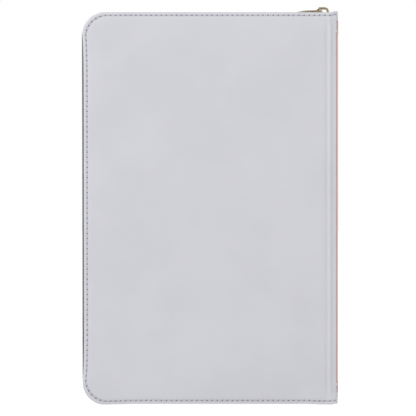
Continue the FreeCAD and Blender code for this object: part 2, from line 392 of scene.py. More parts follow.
class Value:
    """A shader socket that takes part in Python expressions; each operation adds a Math node."""

    def __init__(self, shader: "Shader", socket: bpy.types.NodeSocket) -> None:
        """Wrap a socket of a shader."""
        self.shader = shader
        self.socket = socket

    def math(self, operation: str, *others: "Value | float") -> "Value":
        """Add a Math node of this operation whose inputs are this value and the others."""
        inputs = dict(enumerate((self, *others)))
        return self.shader.value("ShaderNodeMath", {"operation": operation}, inputs)

    def __add__(self, other: "Value | float") -> "Value":
        """This plus other."""
        return self.math("ADD", other)

    __radd__ = __add__

    def __sub__(self, other: "Value | float") -> "Value":
        """This minus other."""
        return self.math("SUBTRACT", other)

    def __rsub__(self, other: float) -> "Value":
        """Other minus this."""
        return self.shader.value("ShaderNodeMath", {"operation": "SUBTRACT"}, {0: other, 1: self})

    def __mul__(self, other: "Value | float") -> "Value":
        """This times other."""
        return self.math("MULTIPLY", other)

    __rmul__ = __mul__

    def __truediv__(self, other: "Value | float") -> "Value":
        """This divided by other."""
        return self.math("DIVIDE", other)

    def step(self, low: float, high: float) -> "Value":
        """Rise smoothly from 0 at low to 1 at high."""
        inputs = {"Value": self, "From Min": low, "From Max": high}
        return self.shader.value("ShaderNodeMapRange", {"interpolation_type": "SMOOTHSTEP"}, inputs)

    def wave(self, period: float) -> "Value":
        """A cosine of this value, 1 at whole periods and -1 halfway."""
        return (self * (2 * math.pi / period)).math("COSINE")


class Shader:
    """One material's node tree, with its Principled shader."""

    def __init__(self, name: str) -> None:
        """Start a material with only an output and a Principled shader.

        Args:
            name: the material's name.
        """
        self.material = bpy.data.materials.new(name)
        self.material.use_nodes = True
        self.tree = self.material.node_tree
        self.tree.nodes.clear()
        self.surface = self.node("ShaderNodeBsdfPrincipled")
        self.node("ShaderNodeOutputMaterial", {}, {"Surface": self.surface.outputs["BSDF"]})

    def node(self, kind: str, settings: dict | None = None, sockets: dict | None = None) -> bpy.types.Node:
        """Add a node.

        Args:
            kind: the node's type.
            settings: its own properties, set first.
            sockets: numbers, colours or links for its inputs, by name or place.

        Returns:
            The node.
        """
        made = self.tree.nodes.new(kind)
        for name, setting in (settings or {}).items():
            setattr(made, name, setting)
        for name, given in (sockets or {}).items():
            self.join(given, made.inputs[name])
        return made

    def join(self, given: object, target: bpy.types.NodeSocket) -> None:
        """Link a value or socket to an input, or set the input to a number or colour."""
        if isinstance(given, Value):
            given = given.socket
        if isinstance(given, bpy.types.NodeSocket):
            self.tree.links.new(given, target)
        elif isinstance(given, tuple) and len(given) == 3 and target.type == "RGBA":
            target.default_value = (*given, 1.0)
        else:
            target.default_value = given

    def value(self, kind: str, settings: dict | None = None, sockets: dict | None = None,
              output: int | str = 0) -> Value:
        """Add a node and wrap one of its outputs."""
        return Value(self, self.node(kind, settings, sockets).outputs[output])

    def place(self) -> Value:
        """The point in the object's own coordinates, in metres."""
        return self.value("ShaderNodeTexCoord", output="Object")

    def scaled(self, sizes: tuple[float, float, float]) -> Value:
        """The point, with each axis counted in cells of this many millimetres."""
        scale = tuple(1.0 / (size * MM) for size in sizes)
        return self.value("ShaderNodeVectorMath", {"operation": "MULTIPLY"}, {0: self.place(), 1: scale})

    def noise(self, size: float, detail: float = 2.0, roughness: float = 0.5,
              stretch: tuple[float, float, float] = (1, 1, 1)) -> Value:
        """Cloudy noise from 0 to 1.

        Args:
            size: about how wide its blotches are, in millimetres.
            detail: how many finer layers it has.
            roughness: how strong each finer layer is.
            stretch: how many times longer the blotches are along each axis.

        Returns:
            The noise.
        """
        cells = tuple(size * part for part in stretch)
        inputs = {"Vector": self.scaled(cells), "Scale": 1.0, "Detail": detail, "Roughness": roughness}
        return self.value("ShaderNodeTexNoise", {}, inputs)

    def cells(self, size: float) -> Value:
        """Pebble cells of about size millimetres, as the distance to their edges."""
        inputs = {"Vector": self.scaled((size, size, size)), "Scale": 1.0}
        return self.value("ShaderNodeTexVoronoi", {"feature": "DISTANCE_TO_EDGE"}, inputs)

    def axis(self, name: str) -> Value:
        """One object coordinate, in millimetres."""
        parts = self.node("ShaderNodeSeparateXYZ", {}, {0: self.place()})
        return Value(self, parts.outputs[name]) * (1.0 / MM)

    def edge(self) -> tuple[Value, Value]:
        """The piece's own map, in millimetres: along its edge, and in from it."""
        uv = self.node("ShaderNodeUVMap", {"uv_map": "edge"})
        parts = self.node("ShaderNodeSeparateXYZ", {}, {0: uv.outputs[0]})
        return Value(self, parts.outputs["X"]) * (1.0 / MM), Value(self, parts.outputs["Y"]) * (1.0 / MM)

    def blend(self, factor: Value | float, below: object, above: object) -> Value:
        """Mix two colours.

        Args:
            factor: 0 for the colour below, 1 for the one above.
            below: the first colour.
            above: the second colour.

        Returns:
            The mixed colour.
        """
        mix = self.node("ShaderNodeMix", {"data_type": "RGBA"})
        self.join(factor, mix.inputs[0])
        self.join(below, mix.inputs[6])
        self.join(above, mix.inputs[7])
        return Value(self, mix.outputs[2])

    def finish(self, colour: object, roughness: object, relief: Value | None = None, depth: float = 0.1,
               **fixed: object) -> bpy.types.Material:
        """Feed the Principled shader and return the material.

        Args:
            colour: the base colour.
            roughness: the roughness.
            relief: a height from 0 to 1, or None.
            depth: what a relief of 1 stands for, in millimetres.
            **fixed: other inputs, named with underscores for spaces.

        Returns:
            The material.
        """
        self.join(colour, self.surface.inputs["Base Color"])
        self.join(roughness, self.surface.inputs["Roughness"])
        if relief is not None:
            inputs = {"Height": relief, "Distance": depth * MM, "Strength": 1.0}
            bump = self.node("ShaderNodeBump", {}, inputs)
            self.join(bump.outputs[0], self.surface.inputs["Normal"])
        for name, given in fixed.items():
            self.join(given, self.surface.inputs[name.replace("_", " ")])
        return self.material


# ------------------------------------------------------------------ finishes


@dataclass(frozen=True)
class PearlLeather:
    """Pale lilac-grey leatherette with a fine pebble, faint clouding, and painted shade in its needle holes
    and along its stitch line.
    """

    colour: Colour = (0.462, 0.464, 0.494)
    cloud: Colour = (0.444, 0.446, 0.476)
    # hole: the colour of the painted shade in the needle holes and in the stitch line's groove
    hole: Colour = (0.07, 0.066, 0.095)
    grain: float = 0.42
    grain_depth: float = 0.024
    pitch: float = 2.5
    inset: float = 1.6

    def make(self) -> bpy.types.Material:
        """Build the leather: pebble relief everywhere, a hole at each whole pitch of the edge map, dented
        and darkened with painted shade, and a line of painted shade along the stitches.
        """
        s = Shader("pearl_leather")
        clouds = s.noise(26.0, 3.0)
        speck = s.noise(0.55, 2.0)
        along, inward = s.edge()
        beside = (along / self.pitch).math("FRACT").math("SUBTRACT", 0.5).math("ABSOLUTE")
        reach = 1.0 - beside * 2.0
        across = (inward - self.inset).math("ABSOLUTE") / self.pitch
        spread = (reach * reach * 0.75 + across * across * 3.0).math("SQRT")
        # pit: each needle hole's dent in the relief, and the place of its painted shade in the colour
        pit = 1.0 - spread.step(0.13, 0.34)
        # painted shade along the groove of the stitch line
        stitch_groove_shade = 1.0 - (across * self.pitch).step(0.10, 0.60)
        tone = s.blend(clouds.step(0.35, 0.7), self.colour, self.cloud)
        tone = s.blend(speck.step(0.45, 0.75) * 0.10, tone, self.cloud)
        # painted shade: the needle holes and the stitch line's groove are darkened towards the hole colour
        tone = s.blend((pit * 0.62 + stitch_groove_shade * 0.28).math("MINIMUM", 1.0), tone, self.hole)
        pebble = s.cells(self.grain).step(0.0, 0.35)
        relief = pebble * 0.6 + s.noise(0.2, 2.0) * 0.4 - pit * 2.5
        gloss = 0.40 + speck * 0.12 + (1.0 - pebble) * 0.08
        return s.finish(tone, gloss, relief, self.grain_depth, Specular_IOR_Level=0.45,
                        Sheen_Weight=0.08, Sheen_Roughness=0.4)


@dataclass(frozen=True)
class SewingThread:
    """Twisted polyester thread, close to the leather in colour."""

    light: Colour = (0.60, 0.595, 0.65)
    # dark: the colour of the painted shade in the twist's grooves and of the painted shadow where the plies
    # cross
    dark: Colour = (0.27, 0.255, 0.31)

    def make(self) -> bpy.types.Material:
        """Build the thread with a slanting twist whose grooves are darkened with painted shade, and a
        painted shadow in mid stitch where its plies cross.
        """
        s = Shader("sewing_thread")
        # cross: a painted shadow across the middle of each stitch
        cross = 1.0 - s.edge()[0].math("ABSOLUTE").step(0.10, 0.42)
        twist = (s.axis("X") + s.axis("Z") + s.axis("Y") * 1.3).wave(0.34) * 0.5 + 0.5
        # painted shade: darker in the twist's grooves and in mid stitch
        tone = s.blend((twist * 0.5 + cross * 0.6).math("MINIMUM", 1.0), self.light, self.dark)
        return s.finish(tone, 0.55, twist, 0.03, Sheen_Weight=0.2)


@dataclass(frozen=True)
class WovenTape:
    """Woven zip tape: a fine herringbone."""

    light: Colour = (0.110, 0.104, 0.130)
    dark: Colour = (0.068, 0.063, 0.080)
    pick: float = 0.42

    def make(self) -> bpy.types.Material:
        """Build the weave from the piece's map: picks along it and ends across it."""
        s = Shader("zip_tape_weave")
        along, across = s.edge()
        zig = across.math("PINGPONG", 1.6)
        rib = (along + zig * 0.6).wave(self.pick) * 0.5 + 0.5
        ends = across.wave(self.pick * 0.8) * 0.5 + 0.5
        weave = rib * 0.7 + ends * 0.3
        fuzz = s.noise(0.6, 3.0)
        tone = s.blend(weave * 0.8 + fuzz * 0.2, self.dark, self.light)
        return s.finish(tone, 0.8, weave, 0.06, Specular_IOR_Level=0.25)


@dataclass(frozen=True)
class NylonCoil:
    """Satin nylon monofilament of the zip's coil."""

    colour: Colour = (0.13, 0.125, 0.155)

    def make(self) -> bpy.types.Material:
        """Build the nylon, slightly uneven in tone and gloss."""
        s = Shader("nylon_coil")
        patch = s.noise(1.3, 2.0)
        tone = s.blend(patch, self.colour, tuple(c * 1.3 for c in self.colour))
        return s.finish(tone, 0.32 + patch * 0.12, s.noise(0.15, 1.0), 0.008)


@dataclass(frozen=True)
class PlatedMetal:
    """Pale gold plating on die-cast metal, with faint wear."""

    name: str = "champagne_gold"
    colour: Colour = (0.52, 0.43, 0.30)
    worn: Colour = (0.36, 0.29, 0.21)
    rough: float = 0.2

    def make(self) -> bpy.types.Material:
        """Build the plating: fine scratches in gloss, and worn patches in tone."""
        s = Shader(self.name)
        wear = s.noise(2.6, 4.0, 0.6).step(0.5, 0.75)
        scratch = s.noise(0.8, 3.0, 0.7, (6.0, 0.25, 0.25))
        tone = s.blend(wear * 0.6, self.colour, self.worn)
        gloss = wear * 0.12 + scratch * 0.12 + self.rough
        return s.finish(tone, gloss, scratch, 0.006, Metallic=1.0)


@dataclass(frozen=True)
class Paper:
    """Paper whose leaves show as fine lines across its thickness."""

    name: str = "page_paper"
    colour: Colour = (0.87, 0.83, 0.73)
    shade: Colour = (0.66, 0.61, 0.50)
    leaf: float = 0.13
    lines: float = 0.55

    def make(self) -> bpy.types.Material:
        """Build the paper: leaf lines by depth where the surface is an edge, and fibre all over."""
        s = Shader(self.name)
        across = s.edge()[1]
        edge = 1.0 - across.step(0.0, 0.5)
        wander = s.noise(9.0, 2.0) * 0.35
        leaves = (s.axis("Y") + wander).wave(self.leaf) * 0.5 + 0.5
        bundles = s.noise(0.8, 3.0, 0.6, (40.0, 0.35, 40.0))
        mark = (leaves * 0.45 + bundles * 0.55) * edge * self.lines
        fibre = s.noise(0.5, 3.0)
        tone = s.blend(mark, self.colour, self.shade)
        tone = s.blend(fibre * 0.08, tone, self.shade)
        relief = leaves * edge + fibre * 0.25
        return s.finish(tone, 0.78, relief, 0.05)


@dataclass(frozen=True)
class Lining:
    """Moire-grained lining paper inside the covers."""

    name: str = "cover_lining"
    light: Colour = (0.60, 0.58, 0.65)
    dark: Colour = (0.52, 0.50, 0.58)

    def make(self) -> bpy.types.Material:
        """Build the lining: watery bands along the height over a fine laid grain."""
        s = Shader(self.name)
        water = s.noise(5.0, 3.0, 0.5, (0.35, 1.0, 3.0))
        laid = s.axis("Z").wave(0.9) * 0.5 + 0.5
        tone = s.blend(water.step(0.35, 0.65) * 0.7 + laid * 0.15, self.light, self.dark)
        return s.finish(tone, 0.6, laid * 0.5 + water * 0.5, 0.03)


@dataclass(frozen=True)
class StripedCloth:
    """Two-colour cloth: stripes along one axis over a plain weave."""

    name: str
    light: Colour
    dark: Colour
    stripe: float
    along: str = "Y"

    def make(self) -> bpy.types.Material:
        """Build the stripes and the weave."""
        s = Shader(self.name)
        stripes = s.axis(self.along).wave(self.stripe).step(-0.3, 0.3)
        weave = (s.axis("X").wave(0.45) * s.axis("Z").wave(0.45)) * 0.5 + 0.5
        tone = s.blend(stripes * 0.85 + weave * 0.15, self.light, self.dark)
        return s.finish(tone, 0.8, weave * 0.5 + stripes * 0.5, 0.06, Sheen_Weight=0.3)


@dataclass(frozen=True)
class StudioPaper:
    """The pale floor."""

    colour: Colour = (0.36, 0.36, 0.36)
    glow: float = 0.86

    def make(self) -> bpy.types.Material:
        """Build a lit sweep: a matt surface that glows, so that it stays pale under the book."""
        s = Shader("studio_floor")
        tone = s.blend(s.noise(400.0, 2.0) * 0.2, self.colour, (0.33, 0.33, 0.33))
        return s.finish(tone, 0.9, None, 0.0, Emission_Color=(1.0, 1.0, 1.0), Emission_Strength=self.glow)


# ------------------------------------------------------------------ the book's measures


@dataclass
class Measures:
    """The book's main sizes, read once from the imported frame, in millimetres."""

    spine_x: float = field(init=False)
    spine_half: float = field(init=False)
    spine_top: float = field(init=False)
    fore_x: float = field(init=False)
    head: float = field(init=False)
    half: float = field(init=False)
    cover_in: float = field(init=False)
    page_low: Array = field(init=False)
    page_high: Array = field(init=False)

    def __post_init__(self) -> None:
        """Read the corners of the nodes that set the sizes."""
        low, high = node_box("spine_skin")
        self.spine_x, self.spine_half, self.spine_top = high
        low, high = node_box("front_cover_skin")
        self.fore_x, self.head, self.half = low[0], high[2], high[1]
        self.cover_in = node_box("front_cover_lining")[0][1]
        self.page_low, self.page_high = node_box("front_middle_section")


@dataclass
class Leather:
    """Half of the book's leather: one cover, its hinge groove and half of the spine, as one closed
    skin. It is laid out flat as a sheet, with run measured from the middle of the spine towards the
    fore edge and z along the height, then wrapped round the spine's side and over the cover. The
    groove, the step up onto the cover, the ridge and the shallow dip behind the ridge are each
    placed by their distance past the spine's side; tail_line holds x and the tail edge's lift."""

    side: Side
    book: Measures
    finish: bpy.types.Material
    spine_bulge: float = 0.3
    spine_round: float = 1.6
    corner: float = 10.7
    fore_pull: float = 0.8
    groove_at: float = 0.0
    groove_wide: float = 1.45
    groove_dip: float = 0.25
    step_from: float = 0.5
    step_to: float = 2.9
    ridge_at: float = 2.0
    ridge_wide: float = 0.95
    ridge_lift: float = 0.27
    dip_at: float = 3.6
    dip_wide: float = 0.9
    dip_share: float = 1.1
    puff: float = 0.85
    puff_run: float = 2.9
    stitch_inset: float = 1.6
    stitch_dip: float = 0.2
    pucker: float = 0.09
    thin: float = 0.7
    roll: float = 0.85
    stitches: int = 182
    stitch_step: float = 2.5
    wave: float = 0.10
    cap_rise: float = 0.15
    tail_soft: float = 0.8
    tail_line: tuple[tuple[float, ...], tuple[float, ...]] = (
        (-50.0, -38.0, 46.0, 53.0, 58.3, 60.3),
        (-0.3, 0.12, 0.12, -0.12, -0.12, 0.15),
    )
    spine_out: float = 0.18

    def __post_init__(self) -> None:
        """Work out where the runs of the sheet begin, and the edge that its rings follow."""
        book = self.book
        self.face_end = book.spine_half - self.spine_round
        self.side_end = self.face_end + self.spine_round * math.pi / 2
        self.flank_x = book.spine_x + self.spine_out - self.spine_bulge - self.spine_round
        self.width = self.side_end + self.flank_x - book.fore_x
        self.reach = book.head / 2
        arc = self.corner * math.pi / 2
        straight = self.width - self.corner
        self.length = 2 * straight + 2 * arc + book.head - 2 * self.corner
        self.pitch = self.length / self.stitches

    def edge(self, along: Array) -> Array:
        """The sheet's free edge: up the tail edge from the spine, round both corners and back.

        Args:
            along: distance along the edge.

        Returns:
            Run and z of each place.
        """
        book, r = self.book, self.corner
        straight, arc = self.width - r, r * math.pi / 2
        upright = book.head - 2 * r
        mirrored = np.minimum(along, self.length - along)
        turn = np.clip((mirrored - straight) / arc, 0.0, 1.0) * math.pi / 2
        run = np.minimum(mirrored, straight) + r * np.sin(turn)
        rise = r * (1.0 - np.cos(turn)) + np.clip(mirrored - straight - arc, 0.0, upright / 2)
        z = np.where(along <= self.length / 2, rise, book.head - rise)
        return np.stack([run, z], axis=-1)

    def flat(self, along: Array, inset: Array) -> Array:
        """A place on the flat sheet: the free edge, drawn in towards the middle line.

        Args:
            along: distance along the edge.
            inset: distance in from it.

        Returns:
            Run and z of each place.
        """
        edge = self.edge(along)
        run = np.minimum(edge[..., 0], self.width - self.reach)
        core = np.stack([run, np.full(along.shape, self.reach)], axis=-1)
        share = (inset / self.reach)[..., None]
        return edge + share * (core - edge)

    def inner_lift(self, run: Array) -> Array:
        """Where the inner face lies: a leather's thickness down, and just behind the lining's face."""
        deep = self.book.cover_in + 0.12 - self.book.spine_half
        return -self.thin + (deep + self.thin) * smooth(run, self.side_end + 1.3, self.side_end + 2.2)

    def height(self, along: Array, inset: Array, run: Array, z: Array) -> Array:
        """How far the outer face stands above the wrapped sheet: the groove and ridge by the spine,
        both pressed flat at the head and tail, the panel's crown, and the stitch line's dip with
        its puckers.

        Args:
            along: distance along the free edge.
            inset: distance in from it.
            run: distance from the middle of the spine.
            z: height.

        Returns:
            The height of each place.
        """
        lift = self.book.half - self.book.spine_half
        past = run - self.side_end
        cover = smooth(past, self.step_from, self.step_to)
        over = smooth(past, 0.9, 6.0)
        pressed = 0.3 + 0.7 * smooth(np.minimum(z, self.book.head - z), 3.0, 7.5)
        ridge = bell(past, self.ridge_at, self.ridge_wide)
        ridge = ridge - self.dip_share * bell(past, self.dip_at, self.dip_wide)
        rise = lift * cover + pressed * self.ridge_lift * ridge
        groove = -self.groove_dip * pressed * bell(past, self.groove_at, self.groove_wide)
        crown = -self.puff * np.exp(-inset / self.puff_run) * (0.3 + 0.7 * over)
        shift = np.abs((along / self.pitch) % 1.0)
        near = np.minimum(shift, 1.0 - shift) * self.pitch
        line = -self.stitch_dip * bell(inset, self.stitch_inset, 0.55)
        puckers = -self.pucker * bell(near, 0.0, 0.5) * bell(inset, self.stitch_inset, 0.6)
        slack = self.wave * cover * smooth(inset, 3.0, 30.0) * (
            np.sin(run * 0.043 + 0.8) * np.sin(z * 0.031 + 0.4) + 0.5 * np.sin(run * 0.081 - z * 0.052)
        )
        soft = -self.tail_soft * cover * np.exp(-z / 6.0)
        return rise + groove + crown + line + puckers + slack + soft - self.wave * 1.5 * cover

    def wrap(self, run: Array, z: Array, lift: Array) -> Array:
        """Wrap the sheet: straight across the spine, round its side, and flat over the cover. The
        tail edge follows a line through a few places: drawn up, but not at the corner or the tab.

        Args:
            run: distance from the middle of the spine.
            z: height.
            lift: distance out from the sheet.

        Returns:
            The points.
        """
        book = self.book
        turn = np.clip((run - self.face_end) / self.spine_round, 0.0, math.pi / 2)
        face = np.clip(run / self.face_end, 0.0, 1.0)
        radius = self.spine_round + lift
        past = np.maximum(run - self.side_end, 0.0)
        x = self.flank_x + radius * np.cos(turn) + self.spine_bulge * (1.0 - face**2) - past
        depth = np.minimum(run, self.face_end) + radius * np.sin(turn)
        share = (z - self.reach) / (self.reach - self.corner)
        pull = self.fore_pull * smooth(past, 60.0, 118.0) * (1.0 - share**12) * (0.94 - 0.16 * share)
        z = z + np.interp(x, *self.tail_line) * (1.0 - smooth(z, 0.0, 14.0))
        cap = 1.0 + ((book.spine_top + self.cap_rise) / book.head - 1.0) * (1.0 - smooth(past, 0.0, 2.0))
        return np.stack([x + np.maximum(pull, 0.0), self.side.value * depth, z * cap], axis=-1)

    def outer(self, along: Array, inset: Array) -> Array:
        """Points on the outer face, by distance along the free edge and in from it."""
        run, z = np.moveaxis(self.flat(along, inset), -1, 0)
        return self.wrap(run, z, self.height(along, inset, run, z))

    def frame_at(self, along: Array, inset: Array, lift: float = 0.0) -> tuple[Array, Array]:
        """Places on the outer face with their own axes.

        Args:
            along: distances along the free edge.
            inset: distances in from it.
            lift: how far above the face.

        Returns:
            The places, and axes along the edge, in from it and outwards as rows.
        """
        small = 0.05
        ahead = self.outer(along + small, inset) - self.outer(along - small, inset)
        inward = self.outer(along, inset + small) - self.outer(along, inset - small)
        ahead /= np.linalg.norm(ahead, axis=-1, keepdims=True)
        out = np.cross(ahead, inward)
        out /= np.linalg.norm(out, axis=-1, keepdims=True)
        outwards = np.array([0.4, self.side.value, 0.0])
        out *= np.sign(out @ outwards)[..., None]
        inward = np.cross(out, ahead)
        return self.outer(along, inset) + lift * out, np.stack([ahead, inward, out], axis=-2)

    def positions(self) -> Array:
        """Distances along the edge at which the skin is cut into columns: fine over the spine's side
        and groove, and four to a stitch elsewhere."""
        quarter = self.pitch / 4
        fine_end = round((self.side_end + 4.0) / quarter) * quarter
        spine = np.linspace(0.0, self.face_end - 0.6, 14)[:-1]
        side = np.linspace(self.face_end - 0.6, fine_end, 56)[:-1]
        rest = np.arange(round(fine_end / quarter), self.stitches * 2) * quarter
        half = np.concatenate([spine, side, rest])
        return np.concatenate([half, [self.length / 2], self.length - half[::-1]])

    def ring(self, along: Array, inset: Array, turn: float) -> tuple[Array, Array]:
        """One ring of the skin: turn 0 is its outer face, half a turn its inner face, and between
        them the round roll over the free edge.

        Args:
            along: distances along the free edge.
            inset: distances in from it.
            turn: the angle round the roll.

        Returns:
            The points, and each point's pair for the edge map, on which every stitch takes up
            the same round length.
        """
        run, z = self.flat(along, inset).T
        top = self.height(along, np.maximum(inset, self.roll), run, z)
        low = self.inner_lift(run)
        lift = (top + low) / 2 + (top - low) / 2 * math.cos(turn)
        pairs = np.stack([along * (self.stitch_step / self.pitch), inset], axis=-1)
        return self.wrap(run, z, lift), pairs

    def build(self) -> bpy.types.Object:
        """Build the skin: rings on the outer face, a round roll over the free edge, and rings back
        under the cover, so that it closes on itself."""
        along = self.positions()
        run = self.edge(along)[:, 0]
        gap = self.height(along, self.roll, run, self.edge(along)[:, 1]) - self.inner_lift(run)
        roll = np.minimum(self.roll, 0.48 * gap)
        near = np.array([0.0, 0.25, 0.5, 0.8, 1.15, 1.6, 2.2, 3.0, 4.2, 6.0, 8.5, 12.0])
        rings = np.concatenate([near, np.linspace(16.0, self.reach, 10)])
        insets = [np.minimum(roll + ring, self.reach) for ring in rings]
        turns = np.linspace(0.0, math.pi, 13)[1:-1]
        parts = [self.ring(along, inset, 0.0) for inset in reversed(insets)]
        parts += [self.ring(along, roll * (1.0 - math.sin(turn)), turn) for turn in turns]
        parts += [self.ring(along, inset, math.pi) for inset in insets]
        points, pairs = (np.stack(items) for items in zip(*parts))
        quads = grid_quads(*points.shape[:2])
        skin = build_mesh(f"{self.side.word}_leather", points, quads, pairs * MM, cap=True)
        skin.data.materials.append(self.finish)
        return skin


@dataclass
class Stitching:
    """One side's row of lockstitches along the leather's free edge, from spine to spine."""

    leather: Leather
    finish: bpy.types.Material
    length: float = 1.7
    radius: float = 0.23
    slant: float = 0.10
    sink: float = 0.02

    def build(self) -> bpy.types.Object:
        """Build each stitch as a thread that dives into the leather at both ends."""
        leather = self.leather
        along = (np.arange(leather.stitches) + 0.5) * leather.pitch
        inset = np.full(along.shape, leather.stitch_inset)
        places, axes = leather.frame_at(along, inset, self.sink)
        lean = axes.copy()
        lean[:, 0] = axes[:, 0] + self.slant * axes[:, 1]
        template, quads = capsule(self.length, self.radius, 7, 8, 2.6)
        share = template[:, 0] / (self.length / 2)
        template[:, 2] -= 0.16 * share**2
        points, quads = repeat_shape(template, quads, places, lean)
        name = f"{leather.side.word}_stitching"
        pairs = np.tile(np.stack([share, np.zeros_like(share)], axis=-1), (leather.stitches, 1))
        row = build_mesh(name, points, quads, pairs * MM)
        row.data.materials.append(self.finish)
        return row


@dataclass
class SpineFoil:
    """The copper foil on the spine: a thin line down each side, and bands of small lozenges and
    rules across it near the head and the tail."""

    leather: Leather
    finish: bpy.types.Material
    line_run: float = 1.47
    line_half: float = 0.21
    bar_pitch: float = 0.95
    bar_half: float = 0.3
    line_low: float = 10.8
    line_high: float = 179.4
    lift: float = 0.025
    depth: float = 0.06

    def patch(self, run: Array, z: Array) -> Array:
        """Points of a thin patch a little proud of the leather, with its own thickness.

        Args:
            run: distances from the middle of the spine, one row for each line along the patch.
            z: heights, in the same rows.

        Returns:
            The rows of the outer face and then of the inner face, which together close a loop.
        """
        leather = self.leather
        inset = np.minimum(z, leather.book.head - z)
        along = np.where(z < leather.reach, run, leather.length - run)
        base = leather.height(along, inset, run, z)
        outer = leather.wrap(run, z, base + self.lift)
        inner = leather.wrap(run, z, base + self.lift - self.depth)
        return np.concatenate([outer, inner[::-1]])

    def strip(self, run0: float, run1: float, z0: float, z1: float, half: float) -> tuple[Array, Array]:
        """A straight rule on the spine.

        Args:
            run0: run of its first end.
            run1: run of its last end.
            z0: height of its first end.
            z1: height of its last end.
            half: half of its width.

        Returns:
            Its points and quads.
        """
        count = max(3, int(max(abs(run1 - run0), abs(z1 - z0) / 3.0) / 0.4))
        share = np.linspace(0.0, 1.0, count)
        run, z = run0 + share * (run1 - run0), z0 + share * (z1 - z0)
        long = math.hypot(run1 - run0, z1 - z0)
        ways = np.linspace(-half, half, 5)[:, None]
        points = self.patch(run - ways * (z1 - z0) / long, z + ways * (run1 - run0) / long)
        return points.reshape(-1, 3), grid_quads(10, count, wrap_rows=True)

    def rules(self) -> list[tuple[float, float, float, float, float]]:
        """Every rule of the pattern: the side line, and near each end a border of close bars beside
        a lattice of crossed rules, framed by cross rules."""
        edge = self.leather.face_end + self.line_run
        rules = [(edge, edge, self.line_low, self.line_high, self.line_half)]
        for bars, lattice in (((5.9, 7.8), (8.4, 10.8)), ((182.4, 185.2), (179.4, 181.8))):
            for level in (*bars, *lattice):
                rules.append((0.0, edge + 0.3, level, level, 0.2))
            for place in np.arange(0.45, edge + 0.2, self.bar_pitch):
                rules.append((place, place, *bars, self.bar_half))
            cell = edge / 6
            for start in np.arange(6) * cell:
                for levels in (lattice, lattice[::-1]):
                    rules.append((start, start + cell, *levels, 0.15))
        return rules

    def build(self) -> bpy.types.Object:
        """Join every rule into one thin sheet of foil."""
        points, quads, start = [], [], 0
        for rule in self.rules():
            more, faces = self.strip(*rule)
            points.append(more)
            quads.append(faces + start)
            start += len(more)
        name = f"{self.leather.side.word}_foil"
        foil = build_mesh(name, np.concatenate(points), np.concatenate(quads), cap=True)
        foil.data.materials.append(self.finish)
        return foil


@dataclass
class Cover:
    """One cover: its share of the leather, with the stitching, foil and lining."""

    side: Side
    book: Measures
    leather_finish: bpy.types.Material
    thread_finish: bpy.types.Material
    foil_finish: bpy.types.Material
    lining_finish: bpy.types.Material
    lining_inset: float = 2.6
    lining_t: float = 0.3

    def dress(self) -> None:
        """Build every piece of the cover; join the foil to the spine and the lining to the cover, and leave
        the skin and stitching where they are built.
        """
        word = self.side.word
        leather = Leather(self.side, self.book, self.leather_finish)
        skin = leather.build()
        stitches = Stitching(leather, self.thread_finish).build()
        foil = SpineFoil(leather, self.foil_finish).build()
        y = self.side.value * self.book.spine_half * MM
        start = ((leather.flank_x - 0.15) * MM, y, leather.reach * MM)
        end = ((leather.flank_x - 1.75) * MM, y, leather.reach * MM)
        for piece in (skin, stitches):
            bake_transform(piece)
        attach(foil, "spine")
        hidden = [f"{word}_cover_skin", f"{word}_hinge_strip", f"{word}_cover_padding", "spine_skin"]
        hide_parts(*hidden)
        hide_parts(f"{word}_cover_stitching", "spine_stitching")
        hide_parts("spine_foil")
        lining = self.lining()
        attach(lining, f"{word}_cover")
        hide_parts(f"{word}_cover_lining")
        for piece in (skin, stitches, foil, lining):
            LOG.info("%s: %d faces", piece.name, len(piece.data.polygons))

    def lining(self) -> bpy.types.Object:
        """The lining: a thin sheet inside the cover, its edge rounded down to the leather."""
        book, inset = self.book, self.lining_inset
        low, high = (book.fore_x + inset + 0.7, inset), (57.9, book.head - inset)
        ring = rounded_ring(low, high, (8.5, 1.0, 1.0, 8.5), 4.0)
        profile = soft_edge(ring.reach, book.cover_in - 0.02, book.cover_in + self.lining_t, 0.12)
        return pad(f"{self.side.word}_lining", ring, profile, self.side.upright, self.lining_finish)


